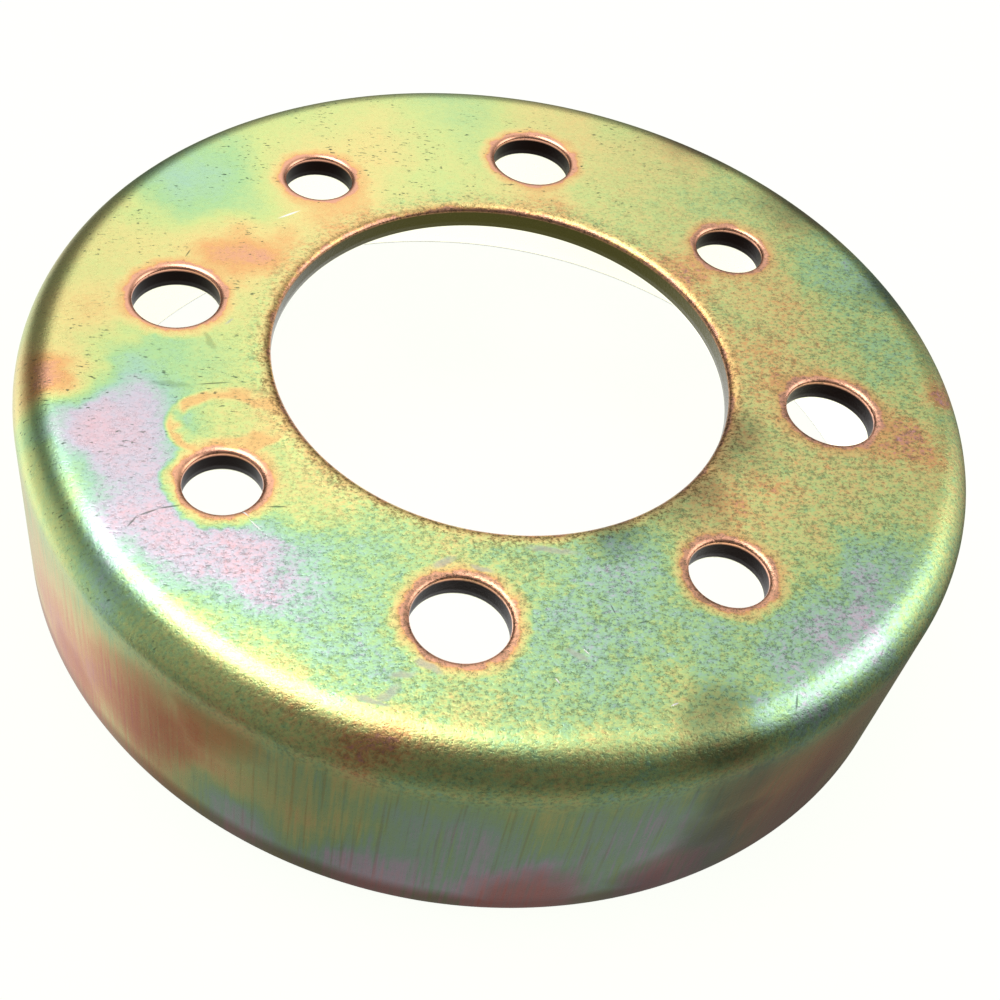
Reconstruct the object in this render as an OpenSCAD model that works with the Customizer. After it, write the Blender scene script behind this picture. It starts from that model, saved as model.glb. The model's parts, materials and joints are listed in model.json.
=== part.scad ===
// Pressed steel drum: a flat web with a large centre hole and two sets of
// bolt holes, turned down all round into a plain cylindrical wall.
// It lies on its open edge. The axis is +Z and the origin is the centre of
// that edge's plane, so the web is on top. All sizes are in millimetres.

/* [Drum] */
// Outside diameter of the wall
drum_d = 114.3; // [100:0.1:160]
// Height over all, from the open edge to the web's outer face
drum_h = 28; // [18:0.5:50]
// Thickness of the web
web_t = 3.2; // [2.2:0.1:4.4]
// Thickness of the drawn wall, which is a little under the web's
wall_t = 3; // [2:0.1:4]
// Inside radius of the bend between the web and the wall
bend_inner_r = 2; // [1:0.1:4]
// Width of the small bevel on both corners of the open edge
edge_bevel = 0.4; // [0.1:0.05:0.8]

/* [Holes] */
// Diameter of the centre hole
centre_d = 55; // [35:0.1:60]
// Number of large bolt holes, and of small ones, which lie halfway between
hole_pairs = 4; // [2:1:8]
// Diameter of a large bolt hole
large_d = 10.5; // [6:0.1:13]
// Distance of the large holes outwards from the middle of the flat web
large_shift = -0.1; // [-2:0.1:2]
// Diameter of a small bolt hole
small_d = 8.7; // [5:0.1:11]
// Distance of the small holes outwards from the middle of the flat web
small_shift = -0.9; // [-2:0.1:2]

/* [Punched edges] */
// Radius of the rolled-over rim where the punch entered a bolt hole
rim_r = 0.4; // [0.1:0.05:0.8]
// Radius of the rolled-over rim of the centre hole
centre_rim_r = 0.6; // [0.1:0.05:1]
// Height of the torn, widening part of a hole, where the punch came out
tear_h = 0.9; // [0.3:0.1:1]
// How far a hole has widened at the web's inner face
tear_w = 0.15; // [0.05:0.05:0.4]

/* [Hidden] */
$fn = 128;
drum_r = drum_d / 2;
inner_r = drum_r - wall_t;
inner_h = drum_h - web_t;
bend_outer_r = bend_inner_r + wall_t;
// Halfway from the centre hole to where the bend starts
web_middle_r = (centre_d / 2 + drum_r - bend_outer_r) / 2;
half_pitch = 180 / hole_pairs;
// How far a cutting shape runs past the face that it cuts
over = 1;

// Half of a solid cup's outline: a rectangle of radius r and height h whose
// upper outer corner is rounded to corner_r
module cup_outline(r, h, corner_r) {
    square([r, h - corner_r]);
    square([r - corner_r, h]);
    translate([r - corner_r, h - corner_r]) circle(corner_r);
}

// The two bevels of the open edge, as what they take away
module edge_bevels() {
    polygon([[drum_r - edge_bevel, 0], [drum_r + over, -over],
             [drum_r + over, edge_bevel + over], [drum_r, edge_bevel]]);
    polygon([[inner_r + edge_bevel, 0], [inner_r, edge_bevel],
             [inner_r - over, edge_bevel + over], [inner_r - over, -over]]);
}

// The drawn cup with no holes
module cup() {
    rotate_extrude() difference() {
        cup_outline(drum_r, drum_h, bend_outer_r);
        translate([0, -over]) cup_outline(inner_r, inner_h + over, bend_inner_r);
        edge_bevels();
    }
}

// What a punch takes out of the web: a straight hole of diameter d, flared by
// the tear at the inner face and by the rolled rim at the outer face
module punched_hole(d, rim) {
    translate([0, 0, inner_h]) {
        translate([0, 0, -over]) {
            cylinder(h = web_t + 2 * over, d = d);
            cylinder(h = tear_h + over, d1 = d + 2 * tear_w * (1 + over / tear_h), d2 = d);
        }
        rotate_extrude() difference() {
            translate([0, web_t - rim]) square([d / 2 + rim, rim + over]);
            translate([d / 2 + rim, web_t - rim]) circle(rim);
        }
    }
}

// A ring of holes of diameter d, shifted outwards from the web's middle
module hole_ring(d, shift, first_angle) {
    for (i = [0 : hole_pairs - 1])
        rotate(first_angle + i * 2 * half_pitch)
            translate([web_middle_r + shift, 0, 0]) punched_hole(d, rim_r);
}

module drum() {
    color([0.78, 0.72, 0.42]) difference() {
        cup();
        punched_hole(centre_d, centre_rim_r);
        hole_ring(large_d, large_shift, 0);
        hole_ring(small_d, small_shift, half_pitch);
    }
}

drum();
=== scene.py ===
"""The looks of a pressed steel drum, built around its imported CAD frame.

The drum lies on its open edge, with its axis on +Z and its web on top. Its sheet
metal is one mesh, and its yellow passivate over zinc is one procedural material.
Lengths are in metres, unless a name or a comment says that they are in millimetres.
"""
import json
import math

import bmesh
import bpy
from mathutils import Matrix, Quaternion, Vector, noise


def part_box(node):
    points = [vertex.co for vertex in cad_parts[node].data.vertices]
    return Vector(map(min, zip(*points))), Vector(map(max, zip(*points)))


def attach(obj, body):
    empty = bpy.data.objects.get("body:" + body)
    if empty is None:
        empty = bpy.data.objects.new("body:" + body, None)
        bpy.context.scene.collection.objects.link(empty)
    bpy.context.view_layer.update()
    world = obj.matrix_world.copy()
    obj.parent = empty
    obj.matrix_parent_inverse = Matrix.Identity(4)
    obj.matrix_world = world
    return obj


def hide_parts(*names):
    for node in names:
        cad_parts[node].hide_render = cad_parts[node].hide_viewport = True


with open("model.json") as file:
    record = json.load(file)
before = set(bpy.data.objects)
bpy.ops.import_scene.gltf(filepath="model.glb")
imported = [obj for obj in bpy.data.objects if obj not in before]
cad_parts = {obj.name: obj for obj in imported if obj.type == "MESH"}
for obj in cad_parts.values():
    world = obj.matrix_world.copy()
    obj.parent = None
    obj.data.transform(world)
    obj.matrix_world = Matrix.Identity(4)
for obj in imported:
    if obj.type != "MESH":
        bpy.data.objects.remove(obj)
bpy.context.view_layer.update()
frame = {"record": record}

MM = 0.001
UP = Vector((0, 0, 1))

# ---------------------------------------------------------------- sizes
mounts = {mount["name"]: mount for mount in frame["record"]["mounts"]}


def stated(mount, size):
    """One of a mount's sizes, in metres."""
    return mounts[mount]["dims"][size] * MM


def wall_top(mount):
    """Where the straight part of a round wall ends, below its bend."""
    return mounts[mount]["pos_m"][2] + stated(mount, "length_mm") / 2


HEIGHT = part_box("drum")[1].z
OUTER_R = stated("outer_wall", "r_mm")
INNER_R = stated("inner_wall", "r_mm")
INNER_H = mounts["inner_face"]["pos_m"][2]
BEND_OUTER_R = HEIGHT - wall_top("outer_wall")
BEND_INNER_R = INNER_H - wall_top("inner_wall")
FLAT_R = OUTER_R - BEND_OUTER_R
EDGE_BEVEL = wall_top("outer_wall") - stated("outer_wall", "length_mm")
CENTRE_R = stated("centre_bore", "r_mm")

# Each kind of bolt hole: its radius and that of the circle that it lies on
BOLT_MOUNTS = ("large_bolts", "small_bolts")
HOLES = [(stated(name, "hole_r_mm"), stated(name, "pcd_mm") / 2) for name in BOLT_MOUNTS]
HOLE_COUNT = sum(mounts[name]["dims"]["count"] for name in BOLT_MOUNTS)
PITCH = math.tau / HOLE_COUNT

# A punch rolls the rim of a hole down and tears its far end a little wider
HOLE_ROLL_W = 0.8 * MM
HOLE_ROLL_D = 0.45 * MM
CENTRE_ROLL_W = 1.3 * MM
CENTRE_ROLL_D = 0.75 * MM
TEAR_H = 0.9 * MM
TEAR_W = 0.15 * MM

# The drawn sheet's unevenness: how deep it is, and how far across in millimetres
SWELL_DEPTH = 0.05 * MM
SWELL_SIZE = 19
PEEL_DEPTH = 0.006 * MM
PEEL_SIZE = 2.3

# ---------------------------------------------------------------- mesh of the drum
# Steps round a sector of the web that holds one hole. Together they make up the
# steps round the hole.
OUTER_STEPS = 40
INNER_STEPS = 24
SIDE_STEPS = 32
HOLE_STEPS = OUTER_STEPS + INNER_STEPS + 2 * SIDE_STEPS
WEB_RINGS = 9
ROLL_STEPS = 8
BEND_STEPS = 20
WALL_STEPS = 12
LIP_STEPS = 4
MERGE_GAP = 0.002 * MM
SHARP_ANGLE = math.radians(40)


def quarter(steps):
    """The angles of a quarter turn, from flat to upright."""
    return [math.pi / 2 * step / steps for step in range(steps + 1)]


def arc(bm, radius, height, steps):
    """A row of edges across one pitch. Returns its two end vertices."""
    start = Vector((radius * math.cos(PITCH / 2), -radius * math.sin(PITCH / 2), height))
    first = bm.verts.new(start)
    spin = bmesh.ops.spin(bm, geom=[first], axis=UP, cent=(0, 0, 0), angle=PITCH, steps=steps)
    return first, spin["geom_last"][0]


def web_sector(bm, hole_r, circle_r, inner_r, height):
    """One pitch of flat web round one hole. Returns the edges of the hole."""
    inner = arc(bm, inner_r, height, INNER_STEPS)
    outer = arc(bm, FLAT_R, height, OUTER_STEPS)
    sides = [bm.edges.new(pair) for pair in zip(inner, outer)]
    bmesh.ops.subdivide_edges(bm, edges=sides, cuts=SIDE_STEPS - 1)
    border = set(bm.edges)
    place = Matrix.Translation((circle_r, 0, height))
    bmesh.ops.create_circle(bm, segments=HOLE_STEPS, radius=hole_r, matrix=place)
    hole = [edge for edge in bm.edges if edge not in border]
    outline = border.union(hole)
    bmesh.ops.bridge_loops(bm, edges=list(outline))
    spokes = [edge for edge in bm.edges if edge not in outline]
    bmesh.ops.subdivide_edges(bm, edges=spokes, cuts=WEB_RINGS)
    return hole


def sink(bm, loop, centre, start_r, profile):
    """Carries a loop of edges down a hole through its (radius, height) steps."""
    radius = start_r
    for next_r, height in profile:
        grown = bmesh.ops.extrude_edge_only(bm, edges=loop)["geom"]
        verts = [part for part in grown if isinstance(part, bmesh.types.BMVert)]
        loop = [part for part in grown if isinstance(part, bmesh.types.BMEdge)]
        scale = next_r / radius
        bmesh.ops.scale(bm, verts=verts, vec=(scale, scale, 1), space=Matrix.Translation(-centre))
        bmesh.ops.translate(bm, verts=verts, vec=(0, 0, height - verts[0].co.z))
        radius = next_r


def bore_profile(radius, roll_w, roll_d):
    """Down a punched hole: rolled rim, straight land, torn part."""
    rim = [
        (radius + roll_w * (1 - math.sin(turn)), HEIGHT - roll_d * (1 - math.cos(turn)))
        for turn in quarter(ROLL_STEPS)[1:]
    ]
    land_top = HEIGHT - roll_d
    land_end = INNER_H + TEAR_H
    land = [(radius, land_top + (land_end - land_top) * share) for share in (0.1, 0.5, 0.9, 1)]
    torn = [(radius + TEAR_W * share, land_end - TEAR_H * share) for share in (0.1, 0.4, 0.7, 1)]
    return rim + land + torn


def cup_profile():
    """From the web's edge round the bend, down the wall, and back up the inside."""
    outer_bend = [
        (FLAT_R + BEND_OUTER_R * math.sin(turn), HEIGHT - BEND_OUTER_R * (1 - math.cos(turn)))
        for turn in quarter(BEND_STEPS)
    ]
    inner_bend = [
        (FLAT_R + BEND_INNER_R * math.sin(turn), INNER_H - BEND_INNER_R * (1 - math.cos(turn)))
        for turn in reversed(quarter(BEND_STEPS // 2))
    ]
    heights = [wall_top("outer_wall") * (1 - step / WALL_STEPS) for step in range(1, WALL_STEPS)]
    outer_wall = [(OUTER_R, height) for height in heights]
    inner_wall = [(INNER_R, height) for height in reversed(heights) if height < wall_top("inner_wall")]
    lip = [
        (EDGE_BEVEL * (1 - math.cos(turn)), EDGE_BEVEL * (1 - math.sin(turn)))
        for turn in quarter(LIP_STEPS)
    ]
    outer_lip = [(OUTER_R - inset, height) for inset, height in lip]
    inner_lip = [(INNER_R + inset, height) for inset, height in reversed(lip)]
    return outer_bend + outer_wall + outer_lip + inner_lip + inner_wall + inner_bend


def turn_profile(bm, profile, steps):
    """Turns an outline of (radius, height) points round the drum's axis."""
    verts = [bm.verts.new((radius, 0, height)) for radius, height in profile]
    edges = [bm.edges.new(pair) for pair in zip(verts, verts[1:])]
    bmesh.ops.spin(
        bm, geom=verts + edges, axis=UP, cent=(0, 0, 0), angle=math.tau, steps=steps, use_merge=True
    )


def add_web(bm):
    """Both faces of the flat web, and the walls of the bolt holes between them."""
    for index in range(HOLE_COUNT):
        hole_r, circle_r = HOLES[index % len(HOLES)]
        rim_r = hole_r + HOLE_ROLL_W
        sector = bmesh.new()
        loop = web_sector(sector, rim_r, circle_r, CENTRE_R + CENTRE_ROLL_W, HEIGHT)
        profile = bore_profile(hole_r, HOLE_ROLL_W, HOLE_ROLL_D)
        sink(sector, loop, Vector((circle_r, 0, 0)), rim_r, profile)
        under = bmesh.new()
        web_sector(under, hole_r + TEAR_W, circle_r, CENTRE_R + TEAR_W, INNER_H)
        for half in (sector, under):
            spin = Matrix.Rotation(index * PITCH, 3, "Z")
            bmesh.ops.rotate(half, verts=half.verts, matrix=spin)
            mesh = bpy.data.meshes.new("sector")
            half.to_mesh(mesh)
            half.free()
            bm.from_mesh(mesh)
            bpy.data.meshes.remove(mesh)


def settle(bm):
    """The slight unevenness of drawn sheet: it only ever takes metal away."""
    for vert in bm.verts:
        place = vert.co / MM
        swell = noise.noise(place / SWELL_SIZE) * 0.5 + 0.5
        peel = noise.noise(place / PEEL_SIZE) * 0.5 + 0.5
        vert.co -= vert.normal * (SWELL_DEPTH * swell + PEEL_DEPTH * peel)
        vert.co.z = max(vert.co.z, 0)


def drum_shell():
    """The whole drum as one closed shell."""
    bm = bmesh.new()
    add_web(bm)
    turn_profile(bm, cup_profile(), HOLE_COUNT * OUTER_STEPS)
    rim = [(CENTRE_R + CENTRE_ROLL_W, HEIGHT)]
    rim += bore_profile(CENTRE_R, CENTRE_ROLL_W, CENTRE_ROLL_D)
    turn_profile(bm, rim, HOLE_COUNT * INNER_STEPS)
    bmesh.ops.remove_doubles(bm, verts=bm.verts, dist=MERGE_GAP)
    bmesh.ops.recalc_face_normals(bm, faces=bm.faces)
    bm.normal_update()
    settle(bm)
    mesh = bpy.data.meshes.new("drum_shell")
    bm.to_mesh(mesh)
    bm.free()
    mesh.shade_smooth()
    mesh.set_sharp_from_angle(angle=SHARP_ANGLE)
    shell = bpy.data.objects.new("drum_shell", mesh)
    bpy.context.scene.collection.objects.link(shell)
    return shell


# ---------------------------------------------------------------- shader maths
class Wire:
    """A node's output that can be added, multiplied and compared in Python."""

    def __init__(self, paint, socket):
        self.paint = paint
        self.socket = socket

    def math(self, operation, *values):
        inputs = dict(enumerate(values))
        return self.paint.add("Math", {"operation": operation}, inputs)

    def __add__(self, other):
        return self.math("ADD", self, other)

    def __radd__(self, other):
        return self.math("ADD", other, self)

    def __sub__(self, other):
        return self.math("SUBTRACT", self, other)

    def __rsub__(self, other):
        return self.math("SUBTRACT", other, self)

    def __mul__(self, other):
        return self.math("MULTIPLY", self, other)

    def __rmul__(self, other):
        return self.math("MULTIPLY", other, self)

    def __abs__(self):
        return self.math("ABSOLUTE", self)

    def lower(self, other):
        return self.math("MINIMUM", self, other)

    def higher(self, other):
        return self.math("MAXIMUM", self, other)

    def fraction(self):
        return self.math("FRACT", self)

    def moved(self, goal, share):
        """This value brought a share of the way to a goal."""
        return self + (goal - self) * share

    def rise(self, low, high):
        """0 at low, 1 at high, and smooth between. It falls where low is above high."""
        inputs = {"Value": self, "From Min": low, "From Max": high}
        return self.paint.add("MapRange", {"interpolation_type": "SMOOTHSTEP"}, inputs)


class Paint:
    """Adds nodes to a material's or a world's node tree."""

    def __init__(self, owner):
        owner.use_nodes = True
        self.tree = owner.node_tree
        self.tree.nodes.clear()

    def add(self, kind, settings, inputs, output=0):
        """A node with its settings made first, then its sockets. Returns one output."""
        node = self.tree.nodes.new("ShaderNode" + kind)
        for name, value in settings.items():
            if name == "stops":
                self.fill_ramp(node.color_ramp, value)
            else:
                setattr(node, name, value)
        for name, value in inputs.items():
            if isinstance(value, Wire):
                self.tree.links.new(value.socket, node.inputs[name])
            else:
                node.inputs[name].default_value = value
        return Wire(self, node.outputs[output]) if node.outputs else None

    def fill_ramp(self, ramp, stops):
        while len(ramp.elements) < len(stops):
            ramp.elements.new(1)
        for element, (position, colour) in zip(ramp.elements, stops):
            element.position = position
            element.color = colour

    def split(self, vector):
        return [self.add("SeparateXYZ", {}, {0: vector}, axis) for axis in range(3)]

    def stretched(self, vector, scale, turn=0):
        """Coordinates in steps of scale millimetres, turned round Z by turn degrees."""
        inputs = {"Vector": vector, "Rotation": (0, 0, math.radians(turn)), "Scale": scale}
        return self.add("Mapping", {"vector_type": "TEXTURE"}, inputs)

    def warped(self, vector, size, amount):
        """Coordinates pushed about by up to about amount millimetres, in lumps of size."""
        inputs = {"Vector": vector, "Scale": 1 / size, "Detail": 2.0}
        lumps = self.add("TexNoise", {}, inputs, 1)
        push = self.add("VectorMath", {"operation": "SUBTRACT"}, {0: lumps, 1: (0.5, 0.5, 0.5)})
        push = self.add("VectorMath", {"operation": "SCALE"}, {0: push, "Scale": amount})
        return self.add("VectorMath", {"operation": "ADD"}, {0: vector, 1: push})

    def noise(self, vector, size, detail=2.0, rough=0.5):
        """Soft noise from 0 to 1, in lumps of about size millimetres."""
        inputs = {"Vector": vector, "Scale": 1 / size, "Detail": detail, "Roughness": rough}
        return self.add("TexNoise", {}, inputs)

    def blend(self, share, first, second, how="MIX"):
        """Two colours mixed, with share of the second."""
        settings = {"data_type": "RGBA", "blend_type": how}
        return self.add("Mix", settings, {0: share, 6: first, 7: second}, 2)

    def distance(self, vector, centre):
        """How many millimetres away a point is."""
        return self.add("VectorMath", {"operation": "DISTANCE"}, {0: vector, 1: centre}, 1)

    def reaches(self, vector, centre, reach, turn=0):
        """How many reaches away a point is, with a reach for each axis in millimetres."""
        inputs = {"Vector": vector, "Location": centre, "Scale": reach}
        inputs["Rotation"] = (0, 0, math.radians(turn))
        away = self.add("Mapping", {"vector_type": "TEXTURE"}, inputs)
        return self.add("VectorMath", {"operation": "LENGTH"}, {0: away}, 1)


def tint(red, green, blue):
    """A colour given by its 0 to 255 screen values."""
    channels = [value / 255 for value in (red, green, blue)]
    light = [
        value / 12.92 if value <= 0.04045 else ((value + 0.055) / 1.055) ** 2.4 for value in channels
    ]
    return (*light, 1.0)


# ---------------------------------------------------------------- yellow passivate over zinc
# The film's colour goes round with its thickness, from thin to thick
FILM_COLOURS = [
    (0.00, tint(234, 168, 156)),
    (0.12, tint(245, 188, 124)),
    (0.25, tint(243, 226, 150)),
    (0.38, tint(218, 232, 152)),
    (0.50, tint(184, 224, 160)),
    (0.62, tint(178, 218, 192)),
    (0.75, tint(214, 208, 220)),
    (0.88, tint(234, 200, 208)),
    (1.00, tint(234, 168, 156)),
]
FILM_BASE = 0.34
ORANGE_FILM = 0.15
PINK_FILM = 0.02

# What dull and brown patches multiply the film's colour by; on the wall and the web's rim they are
# painted shade too
DULL_AND_SHADE = (0.48, 0.48, 0.52, 1.0)
BROWN_AND_SHADE = (0.72, 0.36, 0.25, 1.0)

PIT = tint(64, 84, 66)
FLECK = tint(128, 88, 36)
SCUFFED = tint(186, 186, 176)
# The colour of the painted highlights at the glints
PAINTED_HIGHLIGHT = tint(252, 252, 246)
# Painted shade inside the bolt holes and the bore: their walls are coloured near black and dark olive
PAINTED_HOLE_SHADE = tint(18, 10, 7)
PAINTED_BORE_SHADE = tint(60, 58, 26)
PALE_INSIDE = tint(236, 236, 214)

# How long the grain of each kind is along X, Y and Z, in millimetres
PEBBLE = (0.5, 0.38, 0.42)
SPECK = (0.8, 0.28, 0.6)
HUE_GRAIN = (0.7, 0.5, 0.6)
STREAK = (0.5, 0.5, 15)
DRAWING_LINE = (0.45, 0.45, 18)

# The drum's own sizes again, in millimetres as the material has them
TOP_Z = HEIGHT / MM
INNER_TOP_Z = INNER_H / MM
WALL_R = OUTER_R / MM
INNER_WALL_R = INNER_R / MM
BEND_START_R = FLAT_R / MM
BORE_R = CENTRE_R / MM

# Where the film on the web is thinner or thicker: angle round the drum, radius and
# reach in millimetres, change of thickness
WEB_STAINS = [
    (151, 47, 15, 0.22),
    (163, 35, 9, -0.22),
    (133, 38, 15, -0.12),
    (120, 46, 9, -0.06),
    (72, 42, 13, -0.08),
    (186, 49, 9, -0.14),
    (198, 53, 8, -0.32),
    (196, 39, 11, 0.16),
    (209, 47, 13, 0.50),
    (228, 47, 13, 0.46),
    (243, 44, 10, 0.38),
    (254, 35, 10, 0.22),
    (262, 50, 9, 0.16),
    (257, 46, 9, 0.18),
    (285, 42, 20, 0.15),
    (264, 57, 8, -0.24),
    (309, 57, 8, 0.24),
    (300, 33, 9, 0.20),
    (307, 47, 10, 0.16),
    (320, 51, 12, 0.30),
    (333, 50, 9, 0.24),
    (330, 32, 8, -0.18),
    (350, 31, 8, -0.10),
    (10, 31, 9, -0.12),
    (356, 49, 8, -0.24),
    (15, 46, 10, 0.14),
    (31, 50, 13, 0.26),
    (45, 30, 8, -0.14),
    (66, 53, 10, -0.16),
    (88, 32, 8, -0.16),
    (88, 48, 12, -0.12),
    (118, 32, 9, 0.08),
    (8, 55, 5, -0.30),
]

# The same on the wall, with heights for radii
WALL_STAINS = [
    (-162, 12, 14, 0.16),
    (-139, 6, 17, -0.22),
    (-124, 12, 14, -0.20),
    (-110, 3, 11, 0.40),
    (-95, 2, 12, 0.46),
    (-78, 2, 13, 0.50),
    (-61, 2, 12, 0.46),
    (-104, 17, 10, 0.16),
    (-88, 16, 14, 0.28),
    (-67, 15, 14, 0.30),
    (-44, 10, 19, -0.18),
]

# Darker patches on the web, partly dull metal and partly painted shade on the rim by the bend: angle,
# radius, reach
WEB_DULL_AND_SHADE_PATCHES = [
    (46, 56, 11),
    (26, 57, 9),
    (66, 57, 10),
    (302, 27, 8),
    (322, 27, 9),
    (344, 27, 9),
    (300, 55, 8),
]

# The same on the wall, with heights for radii: these patches are painted shade
WALL_SHADE_PATCHES = [
    (-50, 0, 20),
    (-56, 11, 9),
    (-57, 20, 9),
    (-63, -2, 11),
]

# Browner and darker film on the wall, partly painted shade low on the wall: angle, height, reach
WALL_BROWN_AND_SHADE_PATCHES = [
    (-124, 13, 13),
    (-137, 4, 9),
    (-113, 20, 9),
    (-48, 9, 24),
    (-60, 3, 14),
    (-78, 2, 12),
]

# A tide mark left by the rinse: its middle and half widths in millimetres
TIDE_MIDDLE = (-29.5, -18.6, TOP_Z)
TIDE_REACH = (5.6, 4.2, 6)
TIDE_TURN = 18

# Short marks on the web, in millimetres: middle, half length, half width, turn in degrees
SCRATCHES = [
    (-31.9, -13.3, 2.5, 0.14, 19),
    (-32.1, -32.2, 1.6, 0.16, 24),
    (-34.0, -33.4, 1.5, 0.16, 38),
    (-35.3, -35.0, 1.2, 0.14, 70),
    (-21.1, -29.6, 1.5, 0.16, 14),
    (-40.3, 8.0, 1.0, 0.12, 80),
    (14.2, -34.2, 1.1, 0.12, -14),
    (15.3, -35.2, 0.9, 0.12, -62),
    (18.6, -36.1, 1.0, 0.12, 26),
    (34.4, -42.3, 0.2, 1.3, 0),
]
SMUDGES = [
    (-34.0, -6.6, 2.0, 0.5, -58),
    (-36.6, -14.6, 3.4, 0.7, 6),
    (38.6, 19.2, 1.3, 0.35, 18),
    (-26.0, -13.4, 2.6, 0.5, -8),
]
SCUFFS = [
    (-2.4, -46.3, 2.1, 0.7, -22),
    (-4.7, -47.9, 1.9, 0.6, 22),
    (-5.9, -50.0, 1.8, 0.7, 40),
    (-7.3, -51.2, 2.4, 0.5, -4),
    (12.0, -41.8, 1.7, 0.5, -20),
    (8.5, -28.9, 3.6, 0.6, 6),
    (-2.8, -32.9, 2.0, 0.6, 38),
    (1.4, -32.8, 1.6, 0.5, -14),
    (-32.6, -2.9, 0.8, 0.3, 62),
]
# Painted highlights, as short bright marks of the same kind
PAINTED_GLINTS = [
    (12.9, -41.1, 0.6, 0.12, -40),
    (10.3, -45.2, 0.5, 0.12, -45),
    (-29.8, 18.8, 2.0, 0.2, 44),
    (-24.6, -31.0, 1.4, 0.12, -32),
    (-22.8, -32.6, 1.2, 0.12, -38),
    (22.0, -45.5, 0.6, 0.12, 35),
]


def on_web(angle, radius):
    """A point on the web, in millimetres."""
    turn = math.radians(angle)
    return (radius * math.cos(turn), radius * math.sin(turn), TOP_Z)


def on_wall(angle, height):
    """A point on the outside of the wall, in millimetres."""
    turn = math.radians(angle)
    return (WALL_R * math.cos(turn), WALL_R * math.sin(turn), height)


class Spot:
    """Where on the drum a point is, in millimetres, and what is known of the metal there."""

    def __init__(self, paint):
        metres = paint.add("TexCoord", {}, {}, 3)
        self.place = paint.add("Mapping", {}, {"Vector": metres, "Scale": (1 / MM, 1 / MM, 1 / MM)})
        self.x, self.y, self.z = paint.split(self.place)
        flat = paint.add("CombineXYZ", {}, {0: self.x, 1: self.y, 2: 0.0})
        self.radius = paint.distance(flat, (0, 0, 0))
        self.bore_gap = self.radius - BORE_R
        self.hole_gap = self.nearest_hole(paint, flat)
        # Where the cut walls of the holes and the bore are; they take painted shade and a rougher
        # finish
        below_roll = self.z.rise(TOP_Z - 0.4, TOP_Z - 0.8)
        self.hole_cut = below_roll * self.hole_gap.rise(0.5, 0.3)
        self.bore_cut = below_roll * self.bore_gap.rise(0.5, 0.3)
        in_wall = self.radius.rise(INNER_WALL_R + 0.45, INNER_WALL_R + 0.25)
        self.inside = in_wall * self.z.rise(INNER_TOP_Z + 0.2, INNER_TOP_Z + 0.1)
        self.bend = self.radius.rise(BEND_START_R - 2.15, BEND_START_R + 0.85)
        self.bend = self.bend * self.z.rise(TOP_Z - 6, TOP_Z - 3)
        on_outside = self.radius.rise(WALL_R - 1.65, WALL_R - 0.65)
        self.wall = self.z.rise(TOP_Z - 4, TOP_Z - 8) * on_outside
        # The pickled steel is coarser on one side and round the bore
        side = (self.x * 0.8 - self.y * 0.6).rise(-34, 30)
        near_bore = self.bore_gap.rise(4.5, 1.0)
        self.coarse = (side + near_bore * 0.7).lower(1) * (1 - self.wall)

    def nearest_hole(self, paint, flat):
        """Millimetres from the wall of the nearest bolt hole, along the web."""
        gap = 100.0
        for index in range(HOLE_COUNT):
            hole_r, circle_r = HOLES[index % len(HOLES)]
            x, y, _ = on_web(math.degrees(index * PITCH), circle_r / MM)
            hole_gap = paint.distance(flat, (x, y, 0)) - hole_r / MM
            gap = hole_gap.lower(gap)
        return gap


def marks(paint, place, shapes):
    """How strongly a point lies in one of some short tapered marks on the web."""
    mark = 0.0
    for x, y, half_length, half_width, turn in shapes:
        reach = (half_length, half_width, 2)
        away = paint.reaches(place, (x, y, TOP_Z), reach, turn)
        mark = away.rise(1, 0.4).higher(mark)
    return mark


def patches(paint, place, stains, on_part):
    """How strongly a point lies in one of some round patches on a part of the drum."""
    share = 0.0
    for angle, along, reach in stains:
        away = paint.distance(place, on_part(angle, along))
        share = away.rise(reach, reach * 0.2).higher(share)
    return share


def stained(paint, spot, thickness):
    """Adds the zones where the film is thinner or thicker."""
    loose = paint.warped(spot.place, 8, 9)
    zones = [(on_web(angle, radius), reach, change) for angle, radius, reach, change in WEB_STAINS]
    zones += [(on_wall(angle, height), reach, change) for angle, height, reach, change in WALL_STAINS]
    for middle, reach, change in zones:
        away = paint.distance(loose, middle)
        thickness = thickness + away.rise(reach, reach * 0.15) * change
    return thickness


def grained(paint, spot, thickness):
    """Adds the streaks of the drawn wall and the mottle and grain of the whole film."""
    streaks = paint.noise(paint.stretched(spot.place, STREAK), 1, 3, 0.6) - 0.5
    streaky = paint.noise(spot.place, 14, 2).rise(0.4, 0.6) * 0.35 + 0.25
    thickness = thickness + streaks * spot.wall * streaky
    mottle = paint.noise(spot.place, 4, 3, 0.6) - 0.5
    thickness = thickness + mottle * (spot.coarse * 0.24 + 0.12)
    grain = paint.noise(paint.stretched(spot.place, HUE_GRAIN, 20), 1, 4, 0.7) - 0.5
    return thickness + grain * (spot.coarse * 0.6 + 0.14)


def tide_marked(paint, spot, thickness):
    """Adds the broken outline of a dried drop, thickest on its side near the bore."""
    close = paint.warped(spot.place, 5, 1.6)
    edge = paint.reaches(close, TIDE_MIDDLE, TIDE_REACH, TIDE_TURN)
    thick_side = (spot.x - spot.y * 0.2).rise(-33, -22) * 0.2
    broken = paint.noise(spot.place, 4, 2).rise(0.36, 0.54) * 0.65 + 0.3
    tide = (abs(edge - 1) - thick_side).rise(0.21, 0.06) * broken
    return thickness.moved(ORANGE_FILM, tide)


def ringed(paint, spot, thickness):
    """Thins the film round every hole, to orange and then to pink at the rim."""
    gap = spot.hole_gap.lower(spot.bore_gap + 0.6)
    gap = gap + (paint.noise(spot.place, 2.2, 3, 0.6) - 0.5) * 2.2
    thickness = thickness.moved(ORANGE_FILM, gap.rise(2.6, 1.2) * 0.75)
    return thickness.moved(PINK_FILM, gap.rise(1.3, 0.7) * 0.85)


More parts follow.
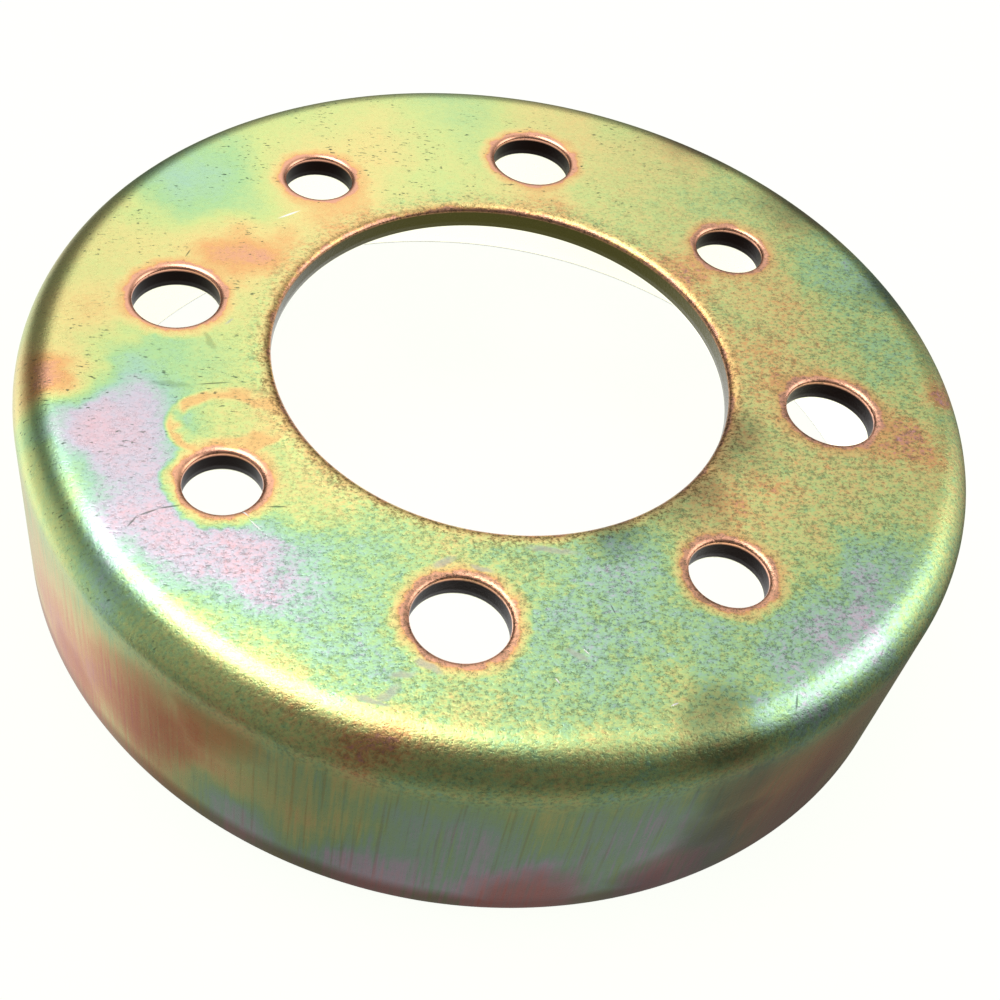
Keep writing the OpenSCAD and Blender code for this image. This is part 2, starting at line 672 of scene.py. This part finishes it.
def film(paint, spot):
    """How thick the passivate film is, as a place on the ring of film colours."""
    thickness = FILM_BASE + (paint.noise(spot.place, 30, 1) - 0.5) * 0.34
    thickness = stained(paint, spot, thickness)
    thickness = grained(paint, spot, thickness)
    thickness = tide_marked(paint, spot, thickness)
    return ringed(paint, spot, thickness)


def pitted(paint, spot, pebble, colour):
    """Adds the darker film in pits, specks and scratches, and brown flecks between."""
    lumps = paint.noise(spot.place, 2.2, 3, 0.6) - 0.5
    pits = (pebble + lumps * 0.2).rise(0.56, 0.36) * (spot.coarse * 0.46 + 0.07)
    pits = pits * (1 - spot.bend * 0.4)
    specks = paint.noise(paint.stretched(spot.place, SPECK, 12), 1, 2)
    patchy = paint.noise(spot.place, 6, 3).rise(0.42, 0.58) * (1 - spot.coarse * 0.5)
    specks = specks.rise(0.37, 0.29) * patchy * (1 - spot.wall) * 0.95
    dark = pits.higher(specks)
    dark = dark.higher(marks(paint, spot.place, SCRATCHES) * 0.75)
    dark = dark.higher(marks(paint, paint.warped(spot.place, 1.2, 1.2), SMUDGES) * 0.3)
    colour = paint.blend(dark, colour, PIT)
    flecks = pebble.rise(0.53, 0.42) * spot.bore_gap.rise(2.6, 1.0)
    flecks = flecks * (spot.y.rise(20, -12) * 0.4 + 0.12)
    return paint.blend(flecks, colour, FLECK)


def weathered_and_shaded(paint, spot, colour):
    """Adds dull and brown patches, brown drawing lines and a darker, browner open edge; on the wall
    these are partly painted shade.
    """
    loose = paint.warped(spot.place, 6, 7)
    dull_and_shade = patches(paint, loose, WEB_DULL_AND_SHADE_PATCHES, on_web)
    dull_and_shade = dull_and_shade.higher(patches(paint, loose, WALL_SHADE_PATCHES, on_wall))
    # Painted shade: darker towards the open edge, where the wall meets the floor
    dull_and_shade = dull_and_shade.higher(spot.z.rise(4, 0.8) * spot.wall * 0.5)
    colour = paint.blend(dull_and_shade, colour, paint.blend(1, colour, DULL_AND_SHADE, "MULTIPLY"))
    drawn = paint.noise(paint.stretched(spot.place, DRAWING_LINE), 1, 2).rise(0.55, 0.7)
    # The whole wall takes some brown, which also darkens it as painted shade
    brown_and_shade = patches(paint, loose, WALL_BROWN_AND_SHADE_PATCHES, on_wall).higher(drawn * 0.3 + 0.3)
    # Browner and darker towards the open edge: painted shade, with a brown tint
    brown_and_shade = brown_and_shade.higher(spot.z.rise(5, 1.2) * 1.1)
    browned_and_shaded = paint.blend(1, colour, BROWN_AND_SHADE, "MULTIPLY")
    return paint.blend(brown_and_shade * spot.wall * 0.85, colour, browned_and_shaded)


def yellow_zinc():
    """Rolled and drawn steel with a bright zinc coat under an uneven yellow passivate."""
    material = bpy.data.materials.new("yellow_zinc")
    paint = Paint(material)
    spot = Spot(paint)
    pebble = paint.noise(paint.stretched(spot.place, PEBBLE, 15), 1, 4, 0.75)
    fine = paint.noise(spot.place, 0.2, 2)
    scuff = marks(paint, paint.warped(spot.place, 2.5, 1.5), SCUFFS)
    painted_glint = marks(paint, spot.place, PAINTED_GLINTS)

    colour = paint.add("ValToRGB", {"stops": FILM_COLOURS}, {0: film(paint, spot).fraction()})
    colour = pitted(paint, spot, pebble, colour)
    colour = weathered_and_shaded(paint, spot, colour)
    colour = paint.blend(scuff * 0.65, colour, SCUFFED)
    # Painted highlights at the glints
    colour = paint.blend(painted_glint, colour, PAINTED_HIGHLIGHT)
    # Painted shade on the walls of the bolt holes and the bore
    colour = paint.blend(spot.hole_cut, colour, PAINTED_HOLE_SHADE)
    colour = paint.blend(spot.bore_cut, colour, PAINTED_BORE_SHADE)
    colour = paint.blend(spot.inside, colour, PALE_INSIDE)

    roughness = 0.24 + pebble * 0.08 + scuff * 0.25 - painted_glint * 0.1 + spot.hole_cut * 0.2
    rough_skin = (spot.coarse + spot.bend * 0.45) * (1 - spot.wall)
    height = pebble * (rough_skin * 0.7 + 0.2) + fine * (rough_skin * 0.25 + 0.1)
    bump = paint.add("Bump", {}, {"Strength": 1.0, "Distance": 0.05 * MM, "Height": height})
    shader = paint.add(
        "BsdfPrincipled", {},
        {"Base Color": colour, "Metallic": 1.0, "Roughness": roughness, "Normal": bump},
    )
    paint.add("OutputMaterial", {}, {0: shader})
    return material


# ---------------------------------------------------------------- camera, floor and light
def camera():
    """A close, slightly rolled look down at the drum, from the front."""
    aim = Vector((-6.9, -20.7, 28)) * MM
    distance = 160.1 * MM
    azimuth = math.radians(1.5)
    elevation = math.radians(47.78)
    back = Vector((
        math.sin(azimuth) * math.cos(elevation),
        -math.cos(azimuth) * math.cos(elevation),
        math.sin(elevation),
    ))
    data = bpy.data.cameras.new("camera")
    data.lens = 52.4
    data.sensor_width = 36
    data.shift_x = 0.079
    data.shift_y = -0.031
    data.clip_start = 5 * MM
    view = bpy.data.objects.new("camera", data)
    view.location = aim + back * distance
    view.rotation_mode = "QUATERNION"
    roll = Quaternion((0, 0, 1), math.radians(9.0))
    view.rotation_quaternion = (-back).to_track_quat("-Z", "Y") @ roll
    bpy.context.scene.collection.objects.link(view)
    bpy.context.scene.camera = view


PAPER = (0.985, 1.0, 0.945, 1.0)
FLOOR_REACH = 30
FLOOR_GAP = 0.05 * MM


def floor():
    """A pale sheet that reaches the horizon, and that the drum doesn't reflect."""
    bm = bmesh.new()
    place = Matrix.Translation((0, 0, -FLOOR_GAP))
    bmesh.ops.create_grid(bm, x_segments=1, y_segments=1, size=FLOOR_REACH, matrix=place)
    mesh = bpy.data.meshes.new("floor")
    bm.to_mesh(mesh)
    bm.free()
    sheet = bpy.data.objects.new("floor", mesh)
    sheet.visible_glossy = False
    sheet.visible_diffuse = False
    bpy.context.scene.collection.objects.link(sheet)
    material = bpy.data.materials.new("pale_floor")
    paint = Paint(material)
    glow = paint.add("Emission", {}, {"Color": PAPER, "Strength": 1.05})
    matt = paint.add("BsdfDiffuse", {}, {"Color": PAPER})
    paint.add("OutputMaterial", {}, {0: paint.add("MixShader", {}, {0: 0.08, 1: glow, 2: matt})})
    mesh.materials.append(material)


# Soft lights on a dome round the drum: azimuth from +Y towards +X, elevation, the
# angles from its middle where a light is full and where it ends, strength
DOME_LIGHTS = [
    (-64, 70, 11, 24, 5.20),
    (79, 38, 8, 28, 2.50),
    (62, 4, 8, 34, 0.50),
    (-15, 42, 12, 27, 0.58),
    (-12, 35, 4, 15, 0.36),
    (23, 44, 11, 25, 0.42),
    (10, 52, 6, 20, 0.14),
    (-10, 14, 10, 26, 0.25),
    (66, 70, 6, 20, 0.35),
    (-118, 34, 8, 28, 0.26),
    (-86, -12, 14, 36, 0.55),
    (-132, -2, 12, 36, 0.13),
    (-60, -38, 14, 34, 0.80),
    (-108, -60, 5, 20, 0.22),
    (142, -60, 12, 50, 0.17),
]
DOME_LEVEL = 0.125


def toward(azimuth, elevation):
    """The direction of a place on the dome."""
    around = math.radians(azimuth)
    up = math.radians(elevation)
    return (math.sin(around) * math.cos(up), math.cos(around) * math.cos(up), math.sin(up))


def light():
    """A dim dome with soft lights on it, and plain paper where the camera sees past the drum."""
    world = bpy.data.worlds.new("studio")
    bpy.context.scene.world = world
    paint = Paint(world)
    direction = paint.add("TexCoord", {}, {}, 0)
    glow = DOME_LEVEL
    for azimuth, elevation, full, end, strength in DOME_LIGHTS:
        inputs = {0: direction, 1: toward(azimuth, elevation)}
        facing = paint.add("VectorMath", {"operation": "DOT_PRODUCT"}, inputs, 1)
        share = facing.rise(math.cos(math.radians(end)), math.cos(math.radians(full)))
        glow = share * strength + glow
    seen = paint.add("LightPath", {}, {})
    glow = paint.blend(seen, glow, PAPER)
    paint.add("OutputWorld", {}, {0: paint.add("Background", {}, {"Color": glow})})


def bounce_card():
    """A lit card on the floor under the drum, which shows its pale inside."""
    card = bpy.data.lights.new("bounce_card", "AREA")
    card.shape = "DISK"
    card.size = 2 * INNER_R
    radiance = 1.2
    card.energy = radiance * math.pi * math.pi * (card.size / 2) ** 2
    lamp = bpy.data.objects.new("bounce_card", card)
    lamp.location = (0, 0, FLOOR_GAP)
    lamp.rotation_euler = (math.pi, 0, 0)
    lamp.visible_camera = False
    bpy.context.scene.collection.objects.link(lamp)


# ---------------------------------------------------------------- the drum and its studio
shell = drum_shell()
shell.data.materials.append(yellow_zinc())
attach(shell, "root")
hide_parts("drum")

floor()
light()
bounce_card()
camera()
bpy.context.scene.view_settings.view_transform = "Standard"
